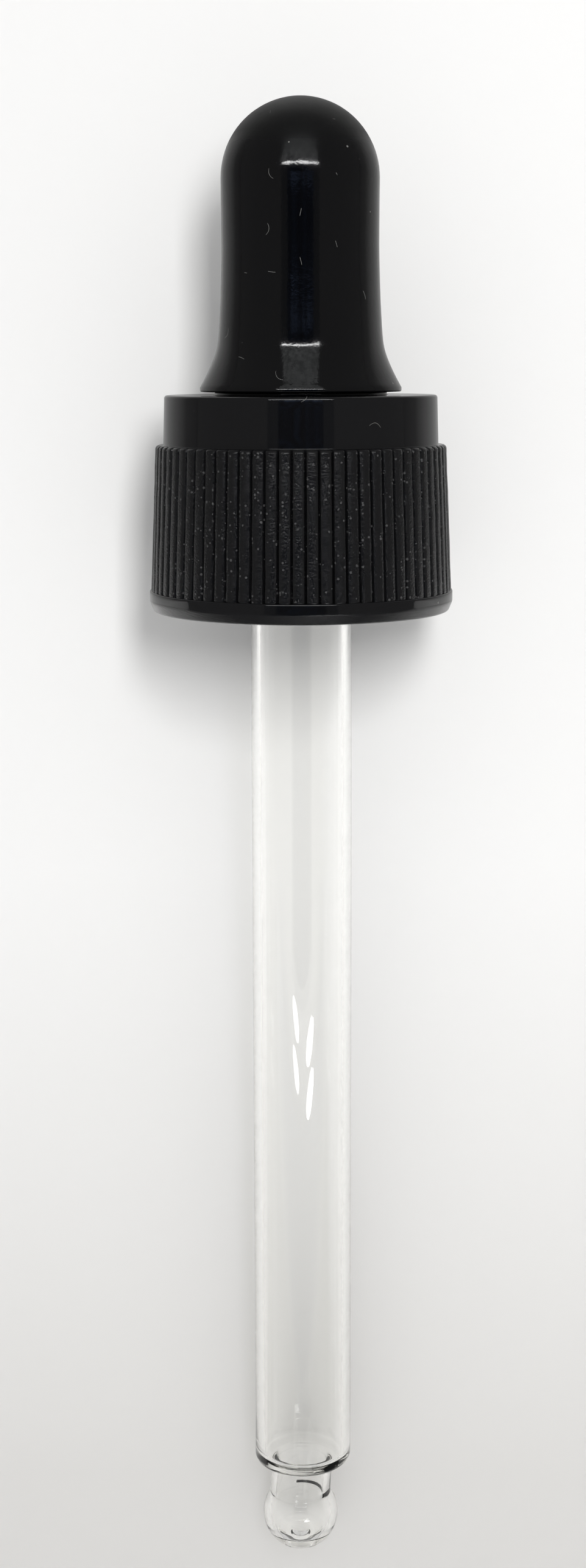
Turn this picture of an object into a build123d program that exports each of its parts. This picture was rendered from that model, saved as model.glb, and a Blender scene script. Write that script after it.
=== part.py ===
from build123d import *
import math
import os

# Medicine dropper: a screw closure, a rubber bulb and a glass pipette.
#
# Millimetres. +Z runs along the axis, from the tip towards the bulb. The origin is on the axis, in the
# sealing plane: the underside of the bulb's flange, where the lip of the bottle's neck presses.

# ---- Driving dimensions -------------------------------------------------------------------------

# Bottle neck that the closure screws on to (20-400 finish)
neck_root_radius = 8.875
neck_thread_depth = 1.075
thread_pitch = 3.175
thread_turns = 1.25
thread_play = 0.12

# Closure
closure_height = 16.0
plate_thickness = 1.4
band_height = 3.65
band_wall = 1.15
band_draft = 1.7
skirt_wall = 0.52
skirt_draft = 2.25
foot_height = 1.55
foot_step = 0.12
foot_round = 0.45
rib_count = 70
rib_depth = 0.27
rib_end_round = 0.40
pocket_depth = 0.25
pocket_cone = 0.6
counterbore_depth = 1.7
counterbore_step = 0.35
edge_round = 0.22
edge_break = 0.12
rib_phase = 1.65

# Bulb
bulb_radius = 5.83
bulb_wall = 1.2
bulb_height = 21.47
waist_radius = 5.80
waist_height = 10.9
kink_radius = 6.14
kink_height = 3.75
flare_step = 1.08
flare_lip = 0.30
flange_thickness = 1.6
flange_round = 0.2
bulb_neck_radius = 6.40

# Pipette
stem_radius = 3.83
glass_wall = 0.7
pipette_reach = 89.2
head_step = 1.0
head_height = 5.0
bead_height = 1.5
ball_radius = 3.0
tip_neck_radius = 2.42
tip_neck_length = 1.9
shoulder_length = 2.6
ball_wall = 0.55
neck_wall = 0.6
tip_floor = 1.3
orifice_radius = 0.75
orifice_rim = 0.45

# Clearances
plate_play = 0.10
hole_play = 0.06
flange_inset = 0.125
pocket_play = 0.25
flare_gap = 0.25
grip_play = 0.02

# ---- Places that follow from them ---------------------------------------------------------------

flange_radius = neck_root_radius - flange_inset
plate_under_z = flange_thickness + plate_play
closure_top_z = plate_under_z + plate_thickness
rim_z = closure_top_z - closure_height
band_base_z = closure_top_z - band_height
foot_top_z = rim_z + foot_height

plate_hole_radius = bulb_neck_radius + hole_play
pocket_radius = flange_radius + pocket_play
band_top_radius = pocket_radius + band_wall
band_base_radius = band_top_radius + band_height * math.tan(math.radians(band_draft))
thread_crest_radius = neck_root_radius + thread_play
thread_bore_radius = thread_crest_radius + neck_thread_depth
rib_length = band_base_z - foot_top_z
skirt_growth = rib_length * math.tan(math.radians(skirt_draft))
valley_top_radius = thread_bore_radius + skirt_wall
valley_foot_radius = valley_top_radius + skirt_growth
foot_radius = valley_foot_radius + rib_depth + foot_step
counterbore_radius = thread_bore_radius + counterbore_step

flare_radius = bulb_neck_radius + flare_step
flare_z = closure_top_z + flare_gap
bulb_top_z = closure_top_z + bulb_height
dome_z = bulb_top_z - bulb_radius
waist_z = closure_top_z + waist_height
kink_z = closure_top_z + kink_height

tip_z = -pipette_reach
tip_face_radius = orifice_radius + orifice_rim
ball_z = tip_z + math.sqrt(ball_radius**2 - tip_face_radius**2)
ball_top_z = ball_z + math.sqrt(ball_radius**2 - tip_neck_radius**2)
shoulder_foot_z = ball_top_z + tip_neck_length
shoulder_z = shoulder_foot_z + shoulder_length
bore_radius = stem_radius - glass_wall
stem_top_z = -2 * grip_play
head_radius = stem_radius + head_step
bead_z = head_height - bead_height
head_cone_radius = head_radius - bead_height / 2


def revolved(outline):
    """Turn a closed outline, a list of edges in the XZ plane, about the axis."""
    return revolve(make_face(Wire(outline)), Axis.Z)


def point(radius, z):
    return Vector(radius, 0, z)


def line(start, end):
    return Line(point(*start), point(*end)).edge()


def arc(start, middle, end):
    return ThreePointArc(point(*start), point(*middle), point(*end)).edge()


def path(*corners):
    """Straight edges from corner to corner."""
    return [line(a, b) for a, b in zip(corners, corners[1:])]


def disc(radius, low, high):
    """A plain cylinder about the axis between two heights."""
    return Pos(0, 0, low) * Cylinder(radius, high - low, align=(Align.CENTER, Align.CENTER, Align.MIN))


# ---- Closure ------------------------------------------------------------------------------------

def rib_section(valley_radius, z):
    """One level of the ribbed skirt: a ring of rounded ribs that meet in sharp valleys."""
    def at(radius, turn):
        angle = math.radians(turn - 90)
        return (radius * math.cos(angle), radius * math.sin(angle))

    pitch = 360 / rib_count
    ribs = []
    for index in range(rib_count):
        start = rib_phase + index * pitch
        ribs.append(ThreePointArc(
            at(valley_radius, start),
            at(valley_radius + rib_depth, start + pitch / 2),
            at(valley_radius, start + pitch),
        ).edge())
    return Pos(0, 0, z) * make_face(Wire(ribs))


def ribbed_skirt():
    """The ribs, tapered by the draft, with their upper ends rounded over."""
    foot_section = rib_section(valley_foot_radius, foot_top_z - edge_break)
    top_section = rib_section(valley_top_radius, band_base_z)
    skirt = loft([foot_section, top_section], ruled=True)
    crest_radius = valley_top_radius + rib_depth
    round_z = band_base_z - rib_end_round
    round_radius = crest_radius - rib_end_round
    reach = rib_end_round * math.sqrt(0.5)
    envelope = disc(foot_radius + 1, foot_top_z - 1, round_z)
    rounded_end = [
        *path((0, round_z), (0, band_base_z), (round_radius, band_base_z)),
        arc((round_radius, band_base_z), (round_radius + reach, round_z + reach), (crest_radius, round_z)),
        line((crest_radius, round_z), (0, round_z)),
    ]
    return skirt & (envelope + revolved(rounded_end))


def closure_core():
    """Everything turned about the axis on the outside: upper band, core behind the ribs and foot band."""
    band_outline = path(
        (0, foot_top_z), (valley_top_radius - rib_end_round, foot_top_z),
        (band_base_radius, band_base_z - rib_end_round), (band_base_radius, band_base_z),
        (band_top_radius, closure_top_z), (0, closure_top_z), (0, foot_top_z),
    )
    band = revolved(band_outline)
    band = fillet(band.edges().group_by(Axis.Z)[-1], edge_round)
    foot = disc(foot_radius, rim_z, foot_top_z)
    foot = fillet(foot.edges().group_by(Axis.Z)[0], foot_round)
    foot = chamfer(foot.edges().group_by(Axis.Z)[-1], edge_break)
    return band + foot


def closure_cavity():
    """The plate's hole, the flange's pocket, the thread's bore and the mouth's counterbore, as one solid."""
    pocket_foot_z = -pocket_depth
    bore_z = pocket_foot_z - pocket_cone
    counterbore_z = rim_z + counterbore_depth
    return revolved(path(
        (0, rim_z - 1), (counterbore_radius + edge_break, rim_z - 1),
        (counterbore_radius + edge_break, rim_z), (counterbore_radius, rim_z + edge_break),
        (counterbore_radius, counterbore_z), (thread_bore_radius, counterbore_z + counterbore_step),
        (thread_bore_radius, bore_z), (pocket_radius, pocket_foot_z), (pocket_radius, plate_under_z),
        (plate_hole_radius, plate_under_z), (plate_hole_radius, closure_top_z - edge_break),
        (plate_hole_radius + edge_break, closure_top_z), (plate_hole_radius + edge_break, closure_top_z + 1),
        (0, closure_top_z + 1), (0, rim_z - 1),
    ))


def neck_thread():
    """The internal thread: a trapezoid ridge on a helix, rooted in the bore's wall."""
    root = 0.15
    depth = thread_bore_radius - thread_crest_radius
    root_half = 0.36 * thread_pitch
    crest_half = 0.14 * thread_pitch
    top_z = -pocket_depth - pocket_cone - root_half - edge_round
    rise = thread_turns * thread_pitch
    helix = Pos(0, 0, top_z - rise) * Helix(thread_pitch, rise, thread_bore_radius)
    start = helix @ 0
    profile = Plane(origin=start, x_dir=(1, 0, 0), z_dir=helix % 0) * make_face(Polyline(
        (root, -root_half), (root, root_half), (-depth, crest_half), (-depth, -crest_half), close=True,
    ))
    return sweep(profile, path=helix, is_frenet=True)


def build_closure():
    shell = closure_core() + ribbed_skirt() - closure_cavity()
    return shell + neck_thread()


# ---- Bulb ---------------------------------------------------------------------------------------

def between(start, end, bow):
    """The point half way between two others, moved outwards by bow."""
    return ((start[0] + end[0]) / 2 + bow, (start[1] + end[1]) / 2)


def build_bulb():
    """A domed body that widens to a flare, a neck in the plate's hole, and the gasket flange below it."""
    dome_side = (bulb_radius, dome_z)
    waist = (waist_radius, waist_z)
    kink = (kink_radius, kink_z)
    lip_top = (flare_radius, flare_z + flare_lip)
    half = math.sqrt(0.5)
    outside = [
        arc((0, bulb_top_z), (bulb_radius * half, dome_z + bulb_radius * half), dome_side),
        line(dome_side, waist),
        arc(waist, between(waist, kink, -0.07), kink),
        arc(kink, between(kink, lip_top, -0.10), lip_top),
        line(lip_top, (flare_radius, flare_z)),
        *path(
            (flare_radius, flare_z), (bulb_neck_radius, flare_z), (bulb_neck_radius, flange_thickness),
            (flange_radius - flange_round, flange_thickness),
            (flange_radius, flange_thickness - flange_round), (flange_radius, flange_round),
            (flange_radius - flange_round, 0), (0, 0), (0, bulb_top_z),
        ),
    ]
    body = revolved(outside)
    lip_edges = body.edges().filter_by(GeomType.CIRCLE).filter_by(
        lambda edge: edge.arc_center.Z > flare_z - edge_break and edge.radius > flare_radius - edge_break
    )
    body = fillet(lip_edges, 0.45 * flare_lip)

    chamber_radius = bulb_radius - bulb_wall
    lip_z = head_height + grip_play
    step_z = bead_z - grip_play
    chamber = [
        arc((0, bulb_top_z - bulb_wall),
            (chamber_radius * half, dome_z + chamber_radius * half), (chamber_radius, dome_z)),
        *path(
            (chamber_radius, dome_z), (chamber_radius, lip_z), (head_radius + grip_play, lip_z),
            (head_radius + grip_play, step_z), (head_cone_radius + grip_play, step_z),
            (stem_radius + grip_play, stem_top_z), (stem_radius + grip_play, -1),
            (0, -1), (0, bulb_top_z - bulb_wall),
        ),
    ]
    return body - revolved(chamber)


# ---- Pipette ------------------------------------------------------------------------------------

def build_pipette():
    """A glass tube with a flared, beaded head, a straight stem, a drawn neck and a hollow ball tip."""
    half = math.sqrt(0.5)
    bead_middle_z = head_height - bead_height / 2
    shoulder_middle = (
        tip_neck_radius + 0.62 * (stem_radius - tip_neck_radius),
        shoulder_foot_z + 0.36 * shoulder_length,
    )
    outside = [
        *path((tip_face_radius, tip_z), (0, tip_z), (0, head_height), (head_cone_radius, head_height)),
        arc((head_cone_radius, head_height), (head_radius, bead_middle_z), (head_cone_radius, bead_z)),
        *path((head_cone_radius, bead_z), (stem_radius, stem_top_z), (stem_radius, shoulder_z)),
        arc((stem_radius, shoulder_z), shoulder_middle, (tip_neck_radius, shoulder_foot_z)),
        line((tip_neck_radius, shoulder_foot_z), (tip_neck_radius, ball_top_z)),
        arc((tip_neck_radius, ball_top_z), (ball_radius, ball_z), (tip_face_radius, tip_z)),
    ]
    body = revolved(outside)

    neck_bore = tip_neck_radius - neck_wall
    cavity_radius = ball_radius - ball_wall
    cavity_foot_z = tip_z + tip_floor
    cavity_foot_radius = math.sqrt(cavity_radius**2 - (ball_z - cavity_foot_z)**2)
    cavity_top_z = ball_z + math.sqrt(cavity_radius**2 - neck_bore**2)
    head_bore_radius = head_cone_radius - 0.85 * glass_wall
    bore_foot_z = shoulder_foot_z + 0.5 * glass_wall
    bore = [
        *path(
            (0, tip_z - 1), (orifice_radius, tip_z - 1), (orifice_radius, cavity_foot_z),
            (cavity_foot_radius, cavity_foot_z),
        ),
        arc((cavity_foot_radius, cavity_foot_z), (cavity_radius, ball_z), (neck_bore, cavity_top_z)),
        line((neck_bore, cavity_top_z), (neck_bore, bore_foot_z)),
        arc(
            (neck_bore, bore_foot_z),
            (neck_bore + (bore_radius - neck_bore) * half, bore_foot_z + shoulder_length * (1 - half)),
            (bore_radius, bore_foot_z + shoulder_length),
        ),
        *path(
            (bore_radius, bore_foot_z + shoulder_length), (bore_radius, 0), (head_bore_radius, bead_z),
            (head_bore_radius, head_height + 1), (0, head_height + 1), (0, tip_z - 1),
        ),
    ]
    return body - revolved(bore)


# ---- Files --------------------------------------------------------------------------------------

nodes = {
    "closure": build_closure(),
    "bulb": build_bulb(),
    "pipette": build_pipette(),
}

os.makedirs("parts", exist_ok=True)
for name, shape in nodes.items():
    export_step(shape, f"parts/{name}.step")
    print(f"{name}: {shape.volume:.1f} mm3, {len(shape.solids())} solid")
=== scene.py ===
import math

import bmesh
import bpy
from mathutils import Matrix, Vector


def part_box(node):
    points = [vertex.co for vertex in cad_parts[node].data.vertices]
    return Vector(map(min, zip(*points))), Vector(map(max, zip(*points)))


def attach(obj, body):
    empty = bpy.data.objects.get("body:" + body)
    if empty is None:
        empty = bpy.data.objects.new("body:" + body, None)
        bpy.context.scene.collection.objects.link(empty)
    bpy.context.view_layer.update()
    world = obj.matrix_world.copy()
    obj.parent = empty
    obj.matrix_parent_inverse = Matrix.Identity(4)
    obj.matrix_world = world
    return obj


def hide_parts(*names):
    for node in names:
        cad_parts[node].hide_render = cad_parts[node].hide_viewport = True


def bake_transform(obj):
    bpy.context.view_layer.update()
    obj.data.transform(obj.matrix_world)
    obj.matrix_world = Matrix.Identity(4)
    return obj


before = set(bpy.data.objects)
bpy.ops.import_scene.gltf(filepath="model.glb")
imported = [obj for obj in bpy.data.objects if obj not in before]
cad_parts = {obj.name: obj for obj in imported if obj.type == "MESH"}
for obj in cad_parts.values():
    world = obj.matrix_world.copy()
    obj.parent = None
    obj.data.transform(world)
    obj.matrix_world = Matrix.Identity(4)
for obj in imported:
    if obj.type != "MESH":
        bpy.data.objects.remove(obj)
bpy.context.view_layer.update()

# A medicine dropper: a ribbed black closure, a black rubber bulb and a ball-tipped glass pipette.
# The frame is in metres. Sizes below are in millimetres, turned into metres as they are used.
MM = 0.001

closure_low, closure_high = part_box("closure")
bulb_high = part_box("bulb")[1]
pipette_low, pipette_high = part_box("pipette")

# Closure
closure_top = closure_high.z / MM
closure_foot = closure_low.z / MM
foot_radius = closure_high.x / MM
plate_under = closure_top - 1.4
plate_hole = 6.46
pocket_radius = 9.0
bore_radius = 10.07
counterbore_radius = 10.42
band_top_radius = 10.15
band_base_radius = 10.258
band_base = closure_top - 3.65
foot_top = closure_foot + 1.55
valley_top_radius = 10.59
valley_foot_radius = 11.014
rib_count = 70
rib_columns = 10
rib_depth = 0.27
rib_turn = -88.35
rib_profile = {1: 0.68, 2: 0.90, 3: 0.97, 4: 0.995, 5: 1.0}

# Thread inside the closure
thread_pitch = 3.175
thread_turns = 1.25
thread_crest = 8.995
thread_top = -2.3
thread_half_root = 1.14
thread_half_crest = 0.44

# Bulb
bulb_top = bulb_high.z / MM
bulb_radius = 5.83
bulb_wall = 1.2
bulb_waist_radius = 5.80
bulb_waist = closure_top + 10.9
bulb_kink_radius = 6.14
bulb_kink = closure_top + 3.5
flare_radius = 7.48
flare_under = closure_top + 0.25
flare_lip = 0.30
bulb_neck = 6.40
waist_bow = -0.07
flare_bow = -0.10
flange_radius = bulb_high.x / MM
flange_top = 1.6

# Pipette
stem_radius = 3.83
glass_wall = 0.7
grip_room = 0.02
head_radius = pipette_high.x / MM
head_top = pipette_high.z / MM
bead_height = 1.5
tip = pipette_low.z / MM
ball_radius = 3.0
ball_middle = tip + 2.75
ball_wall = 0.55
tip_floor = 1.3
tip_neck_radius = 2.42
neck_wall = 0.6
shoulder_foot = tip + 7.15
shoulder_top = shoulder_foot + 1.2
tip_offset = -0.22
orifice_radius = 0.75
orifice_rim = 0.45


# ---- Modelling ----------------------------------------------------------------------------------

def arc_points(middle, radius, start, end, steps):
    """Points on an arc, from one angle to another in degrees; 0 points outwards and 90 up."""
    points = []
    for step in range(steps + 1):
        angle = math.radians(start + (end - start) * step / steps)
        points.append((middle[0] + radius * math.cos(angle), middle[1] + radius * math.sin(angle)))
    return points


def rounded(corners, steps=5):
    """A line through corners (radius, height, rounding), each corner turned into an arc."""
    points = []
    for index, (r, z, size) in enumerate(corners):
        if size == 0 or index in (0, len(corners) - 1):
            points.append((r, z))
            continue
        here = Vector((r, z))
        back = (Vector(corners[index - 1][:2]) - here).normalized()
        ahead = (Vector(corners[index + 1][:2]) - here).normalized()
        half = back.angle(ahead) / 2
        middle = here + (back + ahead).normalized() * (size / math.sin(half))
        first = here + back * (size / math.tan(half)) - middle
        last = here + ahead * (size / math.tan(half)) - middle
        turn = first.angle_signed(last)
        for step in range(steps + 1):
            spoke = first.copy()
            spoke.rotate(Matrix.Rotation(-turn * step / steps, 2))
            points.append(tuple(middle + spoke))
    return points


def divided(start, end, parts):
    """Points that divide a straight stretch, without its two ends."""
    (r0, z0), (r1, z1) = start, end
    return [
        (r0 + (r1 - r0) * part / parts, z0 + (z1 - z0) * part / parts)
        for part in range(1, parts)
    ]


def pick(piece):
    """Select one piece and nothing else."""
    bpy.ops.object.select_all(action="DESELECT")
    bpy.context.view_layer.objects.active = piece
    piece.select_set(True)


def edit(piece):
    pick(piece)
    bpy.ops.object.mode_set(mode="EDIT")


def draw_outline(name, outline, closed):
    """A new piece, drawn as a wire: one vertex extruded from point to point in the XZ plane."""
    bpy.ops.object.select_all(action="DESELECT")
    bpy.ops.mesh.primitive_plane_add(size=MM)
    piece = bpy.context.object
    piece.name = name
    piece.data.name = name
    bpy.ops.object.mode_set(mode="EDIT")
    bpy.ops.mesh.select_all(action="SELECT")
    bpy.ops.mesh.merge(type="CENTER")
    bpy.ops.transform.translate(value=(outline[0][0] * MM, 0, outline[0][1] * MM))
    for (r0, z0), (r1, z1) in zip(outline, outline[1:]):
        move = ((r1 - r0) * MM, 0, (z1 - z0) * MM)
        bpy.ops.mesh.extrude_region_move(TRANSFORM_OT_translate={"value": move})
    if closed:
        mesh = bmesh.from_edit_mesh(piece.data)
        mesh.verts.ensure_lookup_table()
        mesh.verts[0].select = True
        bmesh.update_edit_mesh(piece.data)
        bpy.ops.mesh.edge_face_add()
    return piece


def lathe(name, outline, steps, closed=True):
    """Spin an outline about the axis into a shell with its seam and poles closed."""
    piece = draw_outline(name, outline, closed)
    bpy.ops.mesh.select_all(action="SELECT")
    bpy.ops.mesh.spin(steps=steps, angle=math.tau, center=(0, 0, 0), axis=(0, 0, 1))
    bpy.ops.mesh.select_all(action="SELECT")
    bpy.ops.mesh.remove_doubles(threshold=1e-6)
    bpy.ops.mesh.normals_make_consistent(inside=False)
    bpy.ops.object.mode_set(mode="OBJECT")
    return piece


def smooth(piece, angle):
    pick(piece)
    bpy.ops.object.shade_smooth_by_angle(angle=math.radians(angle))


def apply_modifiers(piece):
    pick(piece)
    for modifier in list(piece.modifiers):
        bpy.ops.object.modifier_apply(modifier=modifier.name)


def ripple(piece, strength, size, keep=None):
    """A slight unevenness of the moulded surface, as a displacement that is then applied."""
    texture = bpy.data.textures.new(piece.name + "_ripple", "CLOUDS")
    texture.noise_scale = size * MM
    texture.noise_depth = 1
    modifier = piece.modifiers.new("ripple", "DISPLACE")
    modifier.texture = texture
    modifier.texture_coords = "LOCAL"
    modifier.strength = strength * MM
    modifier.mid_level = 0.5
    if keep:
        modifier.vertex_group = keep
    apply_modifiers(piece)


def closure_outline():
    """The closure's wall, from its hole over the band, down the skirt and up the bore."""
    skirt_top = band_base - 0.30
    skirt = [(valley_top_radius, skirt_top)]
    skirt += divided((valley_top_radius, skirt_top), (valley_foot_radius, foot_top), 24)
    band = divided((band_top_radius, closure_top), (band_base_radius, band_base), 8)
    outside = rounded([
        (plate_hole, plate_under, 0), (plate_hole, closure_top, 0.12),
        (band_top_radius, closure_top, 0.22),
        *((*point, 0) for point in band[1:-1]),
        (band_base_radius, band_base, 0.05), (valley_top_radius, band_base, 0.28),
        (valley_top_radius, skirt_top, 0),
    ])
    foot = rounded([
        (valley_foot_radius, foot_top, 0), (foot_radius, foot_top, 0.12),
        (foot_radius, foot_top - 0.3, 0),
        (foot_radius, closure_foot + 0.75, 0.5), (foot_radius - 0.30, closure_foot, 0.25),
        (counterbore_radius, closure_foot, 0.14), (counterbore_radius, closure_foot + 1.7, 0),
        (bore_radius, closure_foot + 2.05, 0), (bore_radius, -0.85, 0), (pocket_radius, -0.25, 0),
        (pocket_radius, plate_under, 0.2), (plate_hole, plate_under, 0),
    ])
    return outside[:-1] + skirt + foot[:-1]


def raise_ribs(closure):
    """Ribs: the skirt's columns between two valleys are scaled outwards, most at a rib's crest."""
    column = math.tau / (rib_count * rib_columns)
    edit(closure)
    for offset in range(1, rib_columns):
        share = rib_profile[min(offset, rib_columns - offset)]
        factor = 1 + share * rib_depth / valley_top_radius
        bpy.ops.mesh.select_all(action="DESELECT")
        mesh = bmesh.from_edit_mesh(closure.data)
        for vertex in mesh.verts:
            radius = math.hypot(vertex.co.x, vertex.co.y) / MM
            height = vertex.co.z / MM
            turn = math.atan2(vertex.co.y, vertex.co.x) - math.radians(rib_turn)
            at_height = foot_top - 0.01 < height < band_base + 0.01
            on_skirt = at_height and radius > band_base_radius + 0.045
            on_foot = height < foot_top + 0.01 and radius > valley_foot_radius + 0.03
            if on_skirt and not on_foot and round(turn / column) % rib_columns == offset:
                vertex.select = True
        bmesh.update_edit_mesh(closure.data)
        bpy.ops.transform.resize(value=(factor, factor, 1), center_override=(0, 0, 0))
    bpy.ops.object.mode_set(mode="OBJECT")


def make_closure():
    """The ribbed closure, its skirt a little uneven as it came from the mould."""
    closure = lathe("closure_shell", closure_outline(), rib_count * rib_columns)
    edit(closure)
    bpy.ops.mesh.select_all(action="SELECT")
    past_column = math.radians(rib_turn % (360 / rib_count / rib_columns))
    bpy.ops.transform.rotate(value=-past_column, orient_axis="Z", center_override=(0, 0, 0))
    bpy.ops.object.mode_set(mode="OBJECT")
    raise_ribs(closure)
    skirt = closure.vertex_groups.new(name="skirt")
    for vertex in closure.data.vertices:
        at_height = foot_top < vertex.co.z / MM < band_base - 0.4
        if at_height and vertex.co.xy.length / MM > valley_top_radius - 0.1:
            skirt.add([vertex.index], 1.0, "REPLACE")
    ripple(closure, 0.05, 1.6, "skirt")
    smooth(closure, 30)
    return closure


def make_thread():
    """The neck thread: a rounded trapezoid on a right-hand screw, rooted in the bore."""
    root = bore_radius + 0.12
    outline = rounded([
        (root, -thread_half_root, 0), (bore_radius, -thread_half_root, 0),
        (thread_crest, -thread_half_crest, 0.18), (thread_crest, thread_half_crest, 0.18),
        (bore_radius, thread_half_root, 0), (root, thread_half_root, 0),
    ], 4)
    thread = draw_outline("closure_thread", outline, closed=True)
    bpy.ops.object.mode_set(mode="OBJECT")
    screw = thread.modifiers.new("screw", "SCREW")
    screw.axis = "Z"
    screw.angle = math.tau * thread_turns
    screw.screw_offset = thread_pitch * thread_turns * MM
    screw.steps = 120
    screw.render_steps = 120
    apply_modifiers(thread)
    edit(thread)
    bpy.ops.mesh.select_all(action="DESELECT")
    bpy.ops.mesh.select_mode(type="EDGE")
    bpy.ops.mesh.select_non_manifold(use_boundary=True)
    bpy.ops.mesh.fill()
    bpy.ops.mesh.select_mode(type="VERT")
    bpy.ops.mesh.select_all(action="SELECT")
    drop = thread_top - thread_half_root - thread_pitch * thread_turns
    bpy.ops.transform.translate(value=(0, 0, drop * MM))
    bpy.ops.mesh.normals_make_consistent(inside=False)
    bpy.ops.object.mode_set(mode="OBJECT")
    smooth(thread, 40)
    return thread


def bulb_outline():
    """The rubber's wall: dome, waist and flare outside, neck and flange below, chamber inside."""
    dome = bulb_top - bulb_radius
    chamber = bulb_radius - bulb_wall
    flare_top = flare_under + flare_lip
    pocket_foot = head_top - bead_height - grip_room
    pocket_top = head_top + grip_room
    pocket = head_radius + grip_room
    outside = arc_points((0, dome), bulb_radius, 90, 0, 24)
    outside += divided((bulb_radius, dome), (bulb_waist_radius, bulb_waist), 3)
    body = []
    for (low_radius, low), (high_radius, high), bow, parts in (
            ((bulb_kink_radius, bulb_kink), (bulb_waist_radius, bulb_waist), waist_bow, 27),
            ((flare_radius, flare_top), (bulb_kink_radius, bulb_kink), flare_bow, 12)):
        for part in range(parts):
            share = part / parts
            chord = high_radius + (low_radius - high_radius) * share
            body.append((chord + 4 * bow * share * (1 - share), high + (low - high) * share))
    body.append((flare_radius, flare_top))
    for softening in range(10):
        eased = [(before[0] + 2 * here[0] + after[0]) / 4
                 for before, here, after in zip(body, body[1:], body[2:])]
        body[1:-1] = [(radius, point[1]) for radius, point in zip(eased, body[1:-1])]
    below = rounded([
        (*body[-1], 0), (flare_radius + 0.01, flare_under, 0.12), (bulb_neck, flare_under, 0.1),
        (bulb_neck, flange_top, 0.1), (flange_radius, flange_top, 0.2), (flange_radius, 0, 0.2),
        (stem_radius + grip_room, 0, 0.1), (head_radius - 0.73, pocket_foot, 0.05),
        (pocket, pocket_foot, 0), (pocket, pocket_top, 0),
        (chamber, pocket_top, 0.1), (chamber, head_top + 1, 0),
    ])
    inside = divided((chamber, head_top + 1), (chamber, dome), 6)
    return outside + body[:-1] + below + inside + arc_points((0, dome), chamber, 0, 90, 16)


def make_bulb():
    """The rubber bulb, its surface a little uneven."""
    bulb = lathe("rubber_bulb", bulb_outline(), 160, closed=False)
    ripple(bulb, 0.03, 5.0)
    smooth(bulb, 30)
    return bulb


def pipette_outline():
    """The glass: beaded head, stem, tightly drawn neck, and a hollow ball with a thick floor."""
    face = orifice_radius + orifice_rim
    bead = bead_height / 2
    bore = stem_radius - glass_wall
    neck_bore = tip_neck_radius - neck_wall
    head_bore = head_radius - bead - 0.85 * glass_wall
    cavity = ball_radius - ball_wall
    cavity_foot = tip + tip_floor

    def on_sphere(radius, across):
        return math.degrees(math.acos(across / radius))

    head = [(head_bore, head_top), (head_radius - bead, head_top)]
    head += arc_points((head_radius - bead, head_top - bead), bead, 75, -90, 12)
    stem_start = (stem_radius, -0.04)
    stem = [stem_start] + divided(stem_start, (stem_radius, shoulder_top), 40)
    ball_top = ball_middle + math.sqrt(ball_radius ** 2 - tip_neck_radius ** 2)
    below_neck = on_sphere(ball_radius, tip_neck_radius) - 12
    above_face = -on_sphere(ball_radius, face)
    ball = arc_points((0, ball_middle), ball_radius, below_neck, above_face, 30)
    drawn = rounded([
        (stem_radius, shoulder_top, 0), (stem_radius, shoulder_foot + 0.35, 0.72),
        (tip_neck_radius, shoulder_foot, 0.35), (tip_neck_radius, ball_top, 0.45), (*ball[0], 0),
    ], 8)[1:-1]
    end = [(face - 0.06, tip), (orifice_radius + 0.12, tip), (orifice_radius, tip + 0.12)]
    floor_radius = math.sqrt(cavity ** 2 - (ball_middle - cavity_foot) ** 2)
    above_floor = -on_sphere(cavity, floor_radius) + 14
    at_neck = on_sphere(cavity, neck_bore)
    cavity_side = arc_points((0, ball_middle), cavity, above_floor, at_neck, 22)
    inside = rounded([
        (orifice_radius, tip + 0.12, 0), (orifice_radius, cavity_foot, 0.15),
        (floor_radius, cavity_foot, 0.25), (*cavity_side[0], 0),
    ])[1:-1]
    inside += cavity_side
    inside += rounded([
        (*inside[-1], 0), (neck_bore, shoulder_foot + 0.5, 0.5), (bore, shoulder_foot + 0.95, 0.62),
        (bore, shoulder_top + 1.0, 0),
    ], 12)[1:-1]
    inside += divided((bore, shoulder_top + 1.0), (bore, 0), 40)
    inside += [(bore, 0), (head_bore, head_top - bead_height)]
    return head + stem + drawn + ball + end + inside


def make_pipette():
    """The tip was drawn by hand in a flame, so its ball sits a little off the stem's axis."""
    pipette = lathe("glass_pipette", pipette_outline(), 160)
    levels = 24
    lean_height = shoulder_top - ball_middle - ball_radius
    edit(pipette)
    for level in range(levels):
        bpy.ops.mesh.select_all(action="DESELECT")
        mesh = bmesh.from_edit_mesh(pipette.data)
        limit = shoulder_top - lean_height * level / levels
        for vertex in mesh.verts:
            vertex.select = vertex.co.z / MM < limit
        mesh.select_flush_mode()
        bmesh.update_edit_mesh(pipette.data)
        bpy.ops.transform.translate(value=(tip_offset / levels * MM, 0, 0))
    bpy.ops.object.mode_set(mode="OBJECT")
    smooth(pipette, 40)
    return pipette


# ---- Materials ----------------------------------------------------------------------------------

def new_material(name):
    """A new material, its node tree and its Principled BSDF."""
    material = bpy.data.materials.new(name)
    material.use_nodes = True
    tree = material.node_tree
    return material, tree, tree.nodes["Principled BSDF"]


def node(tree, kind, **settings):
    """A new node, each setting given to the input of that name or else to the node itself."""
    made = tree.nodes.new(kind)
    for key, value in settings.items():
        if key in made.inputs:
            made.inputs[key].default_value = value
        else:
            setattr(made, key, value)
    return made


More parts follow.
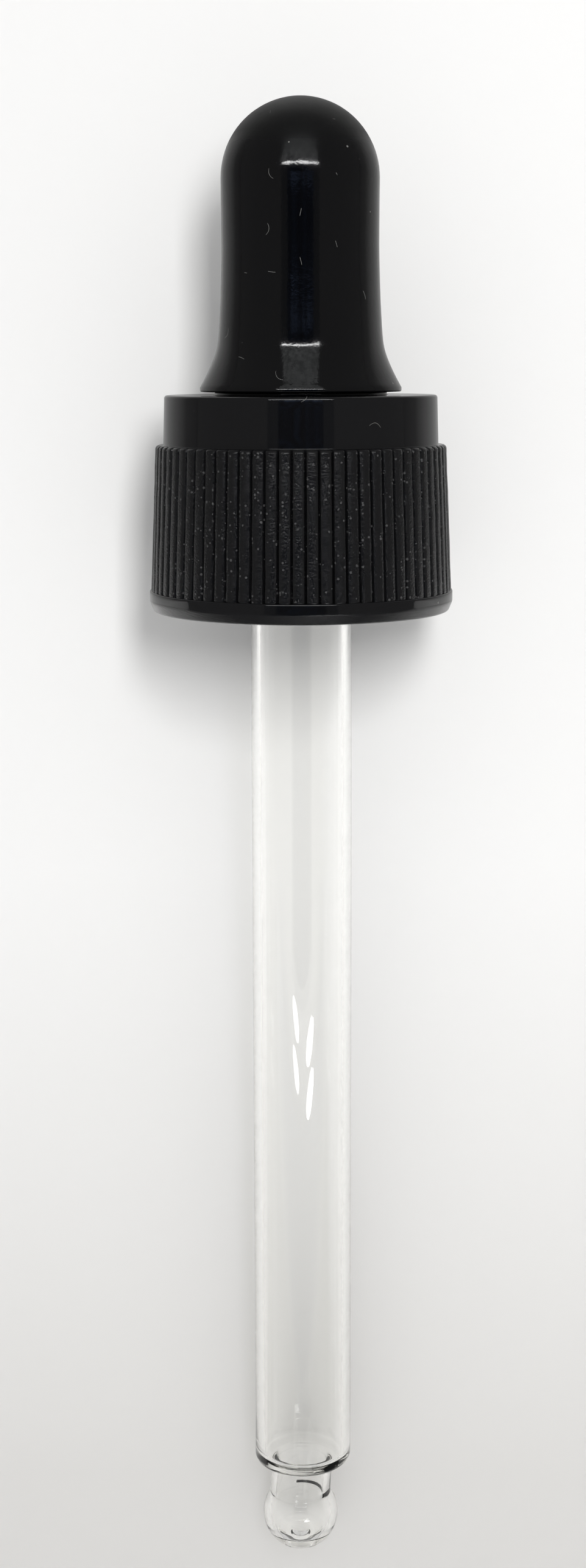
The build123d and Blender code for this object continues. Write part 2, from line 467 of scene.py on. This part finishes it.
def start_group(name, floats, outputs):
    """A new node group with float inputs and outputs, and its two ends."""
    group = bpy.data.node_groups.new(name, "ShaderNodeTree")
    for label, default in floats.items():
        socket = group.interface.new_socket(label, in_out="INPUT", socket_type="NodeSocketFloat")
        socket.default_value = default
    for label in outputs:
        group.interface.new_socket(label, in_out="OUTPUT", socket_type="NodeSocketFloat")
    return group, group.nodes.new("NodeGroupInput"), group.nodes.new("NodeGroupOutput")


def connect(tree, source, target):
    """Feed a socket from another socket, or set it to a plain number."""
    if isinstance(source, (int, float)):
        target.default_value = source
    else:
        tree.links.new(source, target)


def calc(tree, operation, *terms):
    """A Math node on terms that are each a number or a socket."""
    made = node(tree, "ShaderNodeMath", operation=operation)
    for index, term in enumerate(terms):
        connect(tree, term, made.inputs[index])
    return made.outputs[0]


def around(tree):
    """Coordinates on the turned surface, in millimetres: the way round it, and the height."""
    place = tree.nodes.new("ShaderNodeTexCoord")
    parts = tree.nodes.new("ShaderNodeSeparateXYZ")
    tree.links.new(place.outputs["Object"], parts.inputs["Vector"])
    x, y, z = (calc(tree, "MULTIPLY", parts.outputs[axis], 1000.0) for axis in ("X", "Y", "Z"))
    squares = calc(tree, "ADD", calc(tree, "MULTIPLY", x, x), calc(tree, "MULTIPLY", y, y))
    radius = calc(tree, "SQRT", squares)
    turn = calc(tree, "ARCTAN2", x, calc(tree, "MULTIPLY", y, -1.0))
    return calc(tree, "MULTIPLY", turn, radius), z


def joined(tree, x, y, z=0.0):
    """One vector from three terms, each a number or a socket."""
    made = tree.nodes.new("ShaderNodeCombineXYZ")
    for index, term in enumerate((x, y, z)):
        connect(tree, term, made.inputs[index])
    return made.outputs[0]


def grain_group():
    """Fine moulded grain: a height for bump and a slow variation, both from 0 to 1."""
    group, inputs, outputs = start_group(
        "moulded_grain", {"Fine Scale": 8000.0, "Slow Scale": 400.0}, ("Height", "Slow"))
    place = group.nodes.new("ShaderNodeTexCoord")
    for scale, detail, output in (("Fine Scale", 2.5, "Height"), ("Slow Scale", 2.0, "Slow")):
        noise = node(group, "ShaderNodeTexNoise", Detail=detail, Roughness=0.6)
        group.links.new(place.outputs["Object"], noise.inputs["Vector"])
        group.links.new(inputs.outputs[scale], noise.inputs["Scale"])
        group.links.new(noise.outputs["Fac"], outputs.inputs[output])
    return group


def dust_and_glint_group():
    """Dust and painted glints: a mask of sparse tiny specks of uneven size."""
    group, inputs, outputs = start_group(
        "dust_and_glint_specks", {"Scale": 900.0, "Size": 0.1, "Amount": 0.1}, ("Mask",))
    place = group.nodes.new("ShaderNodeTexCoord")
    cells = group.nodes.new("ShaderNodeTexVoronoi")
    group.links.new(place.outputs["Object"], cells.inputs["Vector"])
    group.links.new(inputs.outputs["Scale"], cells.inputs["Scale"])
    parts = group.nodes.new("ShaderNodeSeparateColor")
    group.links.new(cells.outputs["Color"], parts.inputs["Color"])
    uneven = calc(group, "ADD", parts.outputs["Green"], 0.35)
    size = calc(group, "MULTIPLY", inputs.outputs["Size"], uneven)
    near = calc(group, "LESS_THAN", cells.outputs["Distance"], size)
    chosen = calc(group, "LESS_THAN", parts.outputs["Red"], inputs.outputs["Amount"])
    group.links.new(calc(group, "MULTIPLY", near, chosen), outputs.inputs["Mask"])
    return group


def lint_group():
    """Lint: a mask of sparse short curved fibres lying on a turned surface."""
    group, inputs, outputs = start_group(
        "lint_fibres", {"Cells": 0.5, "Length": 0.4, "Width": 0.02, "Amount": 0.3}, ("Mask",))
    way_round, height = around(group)
    cells = node(group, "ShaderNodeTexVoronoi", voronoi_dimensions="2D")
    group.links.new(joined(group, way_round, height), cells.inputs["Vector"])
    group.links.new(inputs.outputs["Cells"], cells.inputs["Scale"])
    parts = group.nodes.new("ShaderNodeSeparateColor")
    group.links.new(cells.outputs["Color"], parts.inputs["Color"])
    middle = group.nodes.new("ShaderNodeSeparateXYZ")
    group.links.new(cells.outputs["Position"], middle.inputs["Vector"])
    across = calc(group, "SUBTRACT", way_round, middle.outputs["X"])
    up = calc(group, "SUBTRACT", height, middle.outputs["Y"])
    turn = calc(group, "MULTIPLY", parts.outputs["Green"], math.tau)
    cosine, sine = calc(group, "COSINE", turn), calc(group, "SINE", turn)
    along = calc(group, "ADD",
                 calc(group, "MULTIPLY", across, cosine), calc(group, "MULTIPLY", up, sine))
    aside = calc(group, "SUBTRACT",
                 calc(group, "MULTIPLY", up, cosine), calc(group, "MULTIPLY", across, sine))
    curl = calc(group, "MULTIPLY", calc(group, "SUBTRACT", parts.outputs["Blue"], 0.5), 2.5)
    bow = calc(group, "MULTIPLY", curl, calc(group, "MULTIPLY", along, along))
    bent = calc(group, "SUBTRACT", aside, bow)
    thin = calc(group, "LESS_THAN", calc(group, "ABSOLUTE", bent), inputs.outputs["Width"])
    uneven = calc(group, "ADD", parts.outputs["Blue"], 0.25)
    reach = calc(group, "MULTIPLY", inputs.outputs["Length"], uneven)
    short = calc(group, "LESS_THAN", calc(group, "ABSOLUTE", along), reach)
    chosen = calc(group, "LESS_THAN", parts.outputs["Red"], inputs.outputs["Amount"])
    mask = calc(group, "MULTIPLY", calc(group, "MULTIPLY", thin, short), chosen)
    group.links.new(mask, outputs.inputs["Mask"])
    return group


def add_group(tree, group, **values):
    """Place a node group in a material, with its own values."""
    made = tree.nodes.new("ShaderNodeGroup")
    made.node_tree = group
    for key, value in values.items():
        made.inputs[key.replace("_", " ")].default_value = value
    return made


def map_range(tree, source, low, high, to_low, to_high):
    """The source brought from one range to another, and held at its ends."""
    made = node(tree, "ShaderNodeMapRange")
    ends = {"From Min": low, "From Max": high, "To Min": to_low, "To Max": to_high}
    for label, value in ends.items():
        made.inputs[label].default_value = value
    tree.links.new(source, made.inputs["Value"])
    return made.outputs["Result"]


def mix_colour(tree, mask, plain, other):
    """Plain where the mask is 0 and other where it is 1; each is a colour or a socket."""
    made = node(tree, "ShaderNodeMix", data_type="RGBA")
    colours = [socket for socket in made.inputs if socket.type == "RGBA"]
    for colour, socket in zip((plain, other), colours):
        if isinstance(colour, tuple):
            socket.default_value = colour
        else:
            tree.links.new(colour, socket)
    tree.links.new(mask, made.inputs[0])
    return [socket for socket in made.outputs if socket.type == "RGBA"][0]


def mix_on_surface(tree, mask, first, second):
    """Give the surface the first shader where the mask is 0 and the second where it is 1."""
    either = tree.nodes.new("ShaderNodeMixShader")
    tree.links.new(mask, either.inputs["Fac"])
    tree.links.new(first.outputs["BSDF"], either.inputs[1])
    tree.links.new(second.outputs["BSDF"], either.inputs[2])
    tree.links.new(either.outputs["Shader"], tree.nodes["Material Output"].inputs["Surface"])


def bump(tree, height, strength, distance, shader, under=None):
    """A bump for the shader's normal, on top of the one under it."""
    made = node(tree, "ShaderNodeBump", Strength=strength, Distance=distance)
    tree.links.new(height, made.inputs["Height"])
    if under:
        tree.links.new(under.outputs["Normal"], made.inputs["Normal"])
    tree.links.new(made.outputs["Normal"], shader.inputs["Normal"])
    return made


def rubber_material(grain, dust_and_glints, lint):
    """Black rubber: glossy, a little duller over the dome, with dust and lint on it."""
    material, tree, shader = new_material("black_rubber")
    surface = add_group(tree, grain, Fine_Scale=6000.0, Slow_Scale=500.0)
    specks = add_group(tree, dust_and_glints, Scale=1200.0, Size=0.085, Amount=0.09)
    fibres = add_group(tree, lint, Cells=0.42, Length=0.34, Width=0.013, Amount=0.30)
    black, pale = (0.0016, 0.0016, 0.0020, 1), (0.16, 0.16, 0.155, 1)
    dusty = calc(tree, "MAXIMUM", specks.outputs["Mask"], fibres.outputs["Mask"])
    tree.links.new(mix_colour(tree, dusty, black, pale), shader.inputs["Base Color"])
    height = around(tree)[1]
    dome_foot = bulb_top - bulb_radius
    up_dome = map_range(tree, height, dome_foot + 0.4, dome_foot + 3.2, 0.0, 0.60)
    dome = calc(tree, "MULTIPLY", up_dome, up_dome)
    gloss = map_range(tree, surface.outputs["Slow"], 0.35, 0.65, 0.07, 0.11)
    dull = calc(tree, "ADD", calc(tree, "ADD", gloss, dome), calc(tree, "MULTIPLY", dusty, 0.5))
    tree.links.new(dull, shader.inputs["Roughness"])
    shader.inputs["IOR"].default_value = 1.48
    pulled = add_group(tree, grain, Fine_Scale=2600.0, Slow_Scale=500.0)
    under = bump(tree, surface.outputs["Slow"], 0.06, 0.05 * MM, shader)
    under = bump(tree, pulled.outputs["Height"], 0.5, 0.012 * MM, shader, under)
    bump(tree, surface.outputs["Height"], 0.25, 0.006 * MM, shader, under)
    return material


def plastic_material(grain, dust_and_glints, lint):
    """Black moulded plastic: glossy bands above and below, spark-eroded grain on the ribs, with
    painted glints as lighter specks.
    """
    material, tree, shader = new_material("black_closure_plastic")
    way_round, height = around(tree)
    below_band = map_range(tree, height, band_base - 0.10, band_base - 0.25, 0.0, 1.0)
    above_foot = map_range(tree, height, foot_top - 0.02, foot_top + 0.06, 0.0, 1.0)
    ribbed = calc(tree, "MULTIPLY", below_band, above_foot)
    surface = add_group(tree, grain, Fine_Scale=6500.0, Slow_Scale=500.0)
    sparkle = add_group(tree, dust_and_glints, Scale=4600.0, Size=0.34, Amount=0.16)
    specks = add_group(tree, dust_and_glints, Scale=1300.0, Size=0.09, Amount=0.03)
    fibres = add_group(tree, lint, Cells=0.38, Length=0.40, Width=0.014, Amount=0.25)

    black, glint_grey = (0.0036, 0.0036, 0.0042, 1), (0.050, 0.050, 0.051, 1)
    pale = (0.13, 0.13, 0.125, 1)
    # Painted glints: grey specks on the ribs stand in for the sparkle of the spark-eroded grain
    # under the light.
    painted_glints = calc(tree, "MULTIPLY", sparkle.outputs["Mask"], ribbed)
    lint_here = calc(tree, "MULTIPLY", fibres.outputs["Mask"], calc(tree, "SUBTRACT", 1.0, ribbed))
    dusty = calc(tree, "MAXIMUM", specks.outputs["Mask"], lint_here)
    black_with_painted_glints = mix_colour(tree, painted_glints, black, glint_grey)
    tree.links.new(mix_colour(tree, dusty, black_with_painted_glints, pale), shader.inputs["Base Color"])

    smooth_gloss = map_range(tree, surface.outputs["Slow"], 0.35, 0.65, 0.05, 0.08)
    rough = calc(tree, "MULTIPLY_ADD", ribbed, 0.20, smooth_gloss)
    tree.links.new(calc(tree, "MULTIPLY_ADD", dusty, 0.4, rough), shader.inputs["Roughness"])

    scuffed = map_range(tree, height, closure_foot + 0.90, closure_foot + 0.65, 0.0, 1.0)
    drift = calc(tree, "MULTIPLY_ADD", way_round, 0.16, height)
    streaks = node(tree, "ShaderNodeTexNoise", Scale=1.0, Detail=4.0, Roughness=0.75)
    tree.links.new(
        joined(tree, calc(tree, "MULTIPLY", way_round, 0.9), calc(tree, "MULTIPLY", drift, 11.0)),
        streaks.inputs["Vector"])
    scratches = calc(tree, "MULTIPLY", streaks.outputs["Fac"], scuffed)
    under = bump(tree, scratches, 0.55, 0.05 * MM, shader)
    rough_ribs = map_range(tree, ribbed, 0.0, 1.0, 0.012, 1.0)
    rise = calc(tree, "MULTIPLY", surface.outputs["Height"], rough_ribs)
    bump(tree, rise, 1.0, 0.040 * MM, shader, under)
    shader.inputs["IOR"].default_value = 1.52
    return material


def glass_material():
    """Clear glass, tinted faintly warm where it is thick; its shadow is darkest along its edges."""
    material, tree, shader = new_material("clear_glass")
    shader.inputs["Base Color"].default_value = (1.0, 1.0, 0.998, 1)
    shader.inputs["Roughness"].default_value = 0.0
    shader.inputs["Transmission Weight"].default_value = 1.0
    shader.inputs["IOR"].default_value = 1.51
    clear = tree.nodes.new("ShaderNodeBsdfTransparent")
    facing = node(tree, "ShaderNodeLayerWeight", Blend=0.35)
    shade = map_range(tree, facing.outputs["Facing"], 0.50, 0.90, 0.0, 1.0)
    middle, edge = (0.99, 0.99, 0.99, 1), (0.66, 0.66, 0.65, 1)
    tree.links.new(mix_colour(tree, shade, middle, edge), clear.inputs["Color"])
    rays = tree.nodes.new("ShaderNodeLightPath")
    mix_on_surface(tree, rays.outputs["Is Shadow Ray"], shader, clear)
    tint = node(tree, "ShaderNodeVolumeAbsorption", Density=30.0)
    tint.inputs["Color"].default_value = (0.86, 0.84, 0.60, 1)
    tree.links.new(tint.outputs["Volume"], tree.nodes["Material Output"].inputs["Volume"])
    return material


def paper_material(one_sided):
    """Matt white paper, with painted shade darker towards the tip, a painted darker reflection
    where the dropper reflects it, and a painted glow where the glass shows it.
    """
    material, tree, shader = new_material("white_paper" + ("_wall" if one_sided else "_floor"))
    place = tree.nodes.new("ShaderNodeTexCoord")
    parts = tree.nodes.new("ShaderNodeSeparateXYZ")
    tree.links.new(place.outputs["Object"], parts.inputs["Vector"])
    rays = tree.nodes.new("ShaderNodeLightPath")
    white, low, painted_reflection_grey = (0.875, 0.875, 0.877, 1), (0.70, 0.693, 0.684, 1), (0.10, 0.10, 0.10, 1)
    # Painted shade: the low colour darkens the paper towards the tip, standing in for the light
    # falling off there.
    painted_falloff = map_range(tree, parts.outputs["Z"], -0.035, -0.085, 0.0, 1.0)
    plain = mix_colour(tree, painted_falloff, white, low)
    # Painted reflection: where the dropper reflects the paper beside it, the paper is painted much
    # darker than it really is.
    aside = calc(tree, "ABSOLUTE", parts.outputs["X"])
    far_out = map_range(tree, aside, 0.005, 0.060, 0.45, 0.92)
    beside_black = map_range(tree, parts.outputs["Z"], -0.016, -0.012, 0.0, 1.0)
    painted_reflection_dimming = calc(tree, "MULTIPLY", far_out, beside_black)
    mirrored = calc(tree, "MULTIPLY", rays.outputs["Is Glossy Ray"], painted_reflection_dimming)
    seen_through = calc(tree, "SUBTRACT", 1.0, rays.outputs["Is Transmission Ray"])
    dimmed = calc(tree, "MULTIPLY", mirrored, seen_through)
    tree.links.new(mix_colour(tree, dimmed, plain, painted_reflection_grey), shader.inputs["Base Color"])
    shader.inputs["Roughness"].default_value = 0.9
    shader.inputs["Specular IOR Level"].default_value = 0.0
    # Painted glow: the paper gives off a little light where the glass shows it, more seen straight
    # through than after a reflection.
    shader.inputs["Emission Color"].default_value = (1, 1, 0.985, 1)
    direct = calc(tree, "LESS_THAN", rays.outputs["Diffuse Depth"], 0.5)
    through_glass = calc(tree, "MULTIPLY", rays.outputs["Is Transmission Ray"], direct)
    painted_glow_strength = map_range(tree, rays.outputs["Glossy Depth"], 0.0, 1.0, 0.13, 0.06)
    tree.links.new(calc(tree, "MULTIPLY", through_glass, painted_glow_strength), shader.inputs["Emission Strength"])
    if one_sided:
        clear = tree.nodes.new("ShaderNodeBsdfTransparent")
        side = tree.nodes.new("ShaderNodeNewGeometry")
        mix_on_surface(tree, side.outputs["Backfacing"], shader, clear)
    return material


def glow_material(name, colour, strength, mottled):
    """An even or blotchy glow that only reflections see: other rays pass straight through it."""
    material, tree, shader = new_material(name)
    shader.inputs["Base Color"].default_value = (0, 0, 0, 1)
    shader.inputs["Roughness"].default_value = 1.0
    shader.inputs["Specular IOR Level"].default_value = 0.0
    shader.inputs["Emission Color"].default_value = colour
    rays = tree.nodes.new("ShaderNodeLightPath")
    before_paper = calc(tree, "LESS_THAN", rays.outputs["Diffuse Depth"], 0.5)
    glow = calc(tree, "MULTIPLY", before_paper, float(strength))
    tree.links.new(glow, shader.inputs["Emission Strength"])
    clear = tree.nodes.new("ShaderNodeBsdfTransparent")
    reflected = calc(tree, "GREATER_THAN", rays.outputs["Glossy Depth"], 0.5)
    mix_on_surface(tree, reflected, clear, shader)
    if mottled:
        place = tree.nodes.new("ShaderNodeTexCoord")
        noise = node(tree, "ShaderNodeTexNoise", Scale=75.0, Detail=3.0, Roughness=0.7)
        tree.links.new(place.outputs["Object"], noise.inputs["Vector"])
        blotch = map_range(tree, noise.outputs["Fac"], 0.42, 0.70, 0.0, 1.0)
        dark = tuple(mottled * part for part in colour[:3]) + (1,)
        tree.links.new(mix_colour(tree, blotch, dark, colour), shader.inputs["Emission Color"])
    return material


# ---- Stage, light and camera --------------------------------------------------------------------

wall_lean = math.radians(6.47)
wall_gap = 0.05
wall_width = 500
wall_top = 120
floor_height = tip - 6.8
floor_width = 1600


def make_floor():
    """A pale floor under the dropper, which the glass and the gloss don't show."""
    bpy.ops.object.select_all(action="DESELECT")
    bpy.ops.mesh.primitive_plane_add(size=floor_width * MM, location=(0, 0, floor_height * MM))
    floor = bpy.context.object
    floor.name = "floor"
    floor.data.materials.append(paper_material(False))
    floor.visible_glossy = False
    floor.visible_transmission = False


def make_wall():
    """A sheet of white paper that the dropper leans on, with its cap's foot and its ball tip."""
    bpy.ops.object.select_all(action="DESELECT")
    bpy.ops.mesh.primitive_plane_add(size=1)
    wall = bpy.context.object
    wall.name = "paper_wall"
    edit(wall)
    bpy.ops.mesh.select_all(action="SELECT")
    bpy.ops.transform.resize(value=(wall_width * MM, wall_width * MM, 1), center_override=(0, 0, 0))
    bpy.ops.transform.rotate(value=-math.radians(90), orient_axis="X", center_override=(0, 0, 0))
    bpy.ops.object.mode_set(mode="OBJECT")
    mesh = wall.data
    ball_back = (ball_radius + wall_gap) / math.cos(wall_lean)
    for vertex in mesh.vertices:
        height = floor_height - 0.5 if vertex.co.z < 0 else wall_top
        vertex.co.z = height * MM
        vertex.co.y = (ball_back + (height - ball_middle) * math.tan(wall_lean)) * MM
    mesh.update()
    if mesh.polygons[0].normal.y > 0:
        mesh.flip_normals()
    mesh.materials.append(paper_material(True))


def make_card(name, across, up, away, colour, strength, mottled=None, oval=False):
    """An upright card before the dropper that only reflections see, given by its edges."""
    bpy.ops.object.select_all(action="DESELECT")
    if oval:
        bpy.ops.mesh.primitive_circle_add(vertices=32, radius=0.5, fill_type="NGON")
    else:
        bpy.ops.mesh.primitive_plane_add(size=1)
    card = bpy.context.object
    card.name = name
    middle = ((across[0] + across[1]) / 2 * MM, -away * MM, (up[0] + up[1]) / 2 * MM)
    edit(card)
    bpy.ops.mesh.select_all(action="SELECT")
    bpy.ops.transform.resize(value=((across[1] - across[0]) * MM, (up[1] - up[0]) * MM, 1))
    bpy.ops.transform.rotate(value=-math.radians(90), orient_axis="X", center_override=(0, 0, 0))
    bpy.ops.transform.translate(value=middle)
    bpy.ops.object.mode_set(mode="OBJECT")
    card.data.materials.append(glow_material(name, colour, strength, mottled))
    card.visible_camera = False
    card.visible_diffuse = False
    card.visible_shadow = False
    card.visible_volume_scatter = False


def make_light(name, place, target, size, power, colour):
    """A rectangular soft light that isn't itself reflected."""
    data = bpy.data.lights.new(name, "AREA")
    data.shape = "RECTANGLE"
    data.size = size[0] * MM
    data.size_y = size[1] * MM
    data.energy = power
    data.color = colour
    light = bpy.data.objects.new(name, data)
    bpy.context.collection.objects.link(light)
    light.location = [v * MM for v in place]
    aim = Vector([v * MM for v in target]) - light.location
    light.rotation_euler = aim.to_track_quat("-Z", "Y").to_euler()
    light.visible_glossy = False
    light.visible_transmission = False
    return light


def make_world():
    """A pale room: bright for what it lights and what the glass shows, dim in reflections."""
    world = bpy.data.worlds.new("pale_studio")
    bpy.context.scene.world = world
    world.use_nodes = True
    world.cycles.sampling_method = "NONE"
    tree = world.node_tree
    background = tree.nodes["Background"]
    background.inputs["Color"].default_value = (1.0, 0.998, 0.99, 1)
    rays = tree.nodes.new("ShaderNodeLightPath")
    lit, reflected, through_glass, seen = 0.56, 0.17, 0.62, 0.88
    after_paper = calc(tree, "GREATER_THAN", rays.outputs["Diffuse Depth"], 0.5)
    strength = lit
    for mask, level in (
        (rays.outputs["Is Glossy Ray"], reflected),
        (rays.outputs["Is Transmission Ray"], through_glass),
        (rays.outputs["Is Camera Ray"], seen), (after_paper, lit),
    ):
        made = node(tree, "ShaderNodeMix", data_type="FLOAT")
        tree.links.new(mask, made.inputs[0])
        connect(tree, strength, made.inputs[2])
        connect(tree, level, made.inputs[3])
        strength = made.outputs[0]
    tree.links.new(strength, background.inputs["Strength"])


def make_camera():
    """The camera stands level with the bulb and looks down along the pipette."""
    distance, height = 174.675, 5.734
    focal_length, image_height = 3801.7, 2576
    down, turn, roll = math.radians(10.408), math.radians(-0.217), math.radians(-0.1735)
    ahead = Vector((
        math.sin(turn) * math.cos(down), math.cos(turn) * math.cos(down), -math.sin(down),
    ))
    level = Vector((math.cos(turn), -math.sin(turn), 0))
    upright = level.cross(ahead)
    right = level * math.cos(roll) + upright * math.sin(roll)
    up = upright * math.cos(roll) - level * math.sin(roll)
    data = bpy.data.cameras.new("camera")
    data.sensor_width = 36
    data.lens = focal_length / image_height * data.sensor_width
    data.clip_start = 0.001
    data.clip_end = 10
    camera = bpy.data.objects.new("camera", data)
    bpy.context.collection.objects.link(camera)
    camera.matrix_world = Matrix((
        (right.x, up.x, -ahead.x, 0),
        (right.y, up.y, -ahead.y, -distance * MM),
        (right.z, up.z, -ahead.z, height * MM),
        (0, 0, 0, 1),
    ))
    bpy.context.scene.camera = camera


# ---- Building the dropper -----------------------------------------------------------------------

grain = grain_group()
dust_and_glints = dust_and_glint_group()
lint = lint_group()
rubber = rubber_material(grain, dust_and_glints, lint)
plastic = plastic_material(grain, dust_and_glints, lint)
glass = glass_material()

closure = make_closure()
thread = make_thread()
bulb = make_bulb()
pipette = make_pipette()

for piece, material, slot in (
    (closure, plastic, "closure"), (thread, plastic, "closure"),
    (bulb, rubber, "bulb"), (pipette, glass, "pipette"),
):
    piece.data.materials.clear()
    piece.data.materials.append(material)

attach(closure, "cap")
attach(thread, "cap")
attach(pipette, "tube")
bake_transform(bulb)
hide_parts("closure")
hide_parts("bulb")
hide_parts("pipette")

make_floor()
make_wall()
make_card("dark_slot", (-62, 62), (-97, 76), 190, (0.25, 0.50, 1.0, 1), 0.10, mottled=0.03)
make_card("blue_patch", (-58, 58), (35, 38.5), 189, (0.45, 0.61, 1.0, 1), 0.9, mottled=0.12)
make_card("dark_frame", (-97, 97), (-97, 76), 192, (0.9, 0.95, 1.0, 1), 0.10)
make_card("bright_bar", (-95, 95), (76, 85), 190, (1, 1, 1, 1), 24)
make_card("upper_panel", (-97, 97), (85, 290), 190, (0.97, 1.0, 1.0, 1), 1.5, mottled=0.25)
make_card("lamp_upper", (33, 97), (-109.9, -103.8), 195, (1, 1, 1, 1), 20, oval=True)
make_card("lamp_lower", (33, 97), (-119.0, -112.9), 195, (1, 1, 1, 1), 20, oval=True)
make_card("dark_ledge", (-357, 357), (-169, -119), 196, (0.9, 0.92, 1.0, 1), 0.42)
make_card("lower_panel", (-80, 80), (-420, -170), 190, (1.0, 1.0, 0.98, 1), 1.3, mottled=0.25)
make_light("key", (38, -240, 74), (0, 0, -10), (45, 95), 0.39, (1, 0.995, 0.98))
make_world()
make_camera()
scene = bpy.context.scene
scene.cycles.max_bounces = 24
scene.cycles.transmission_bounces = 24
scene.view_settings.view_transform = "Standard"
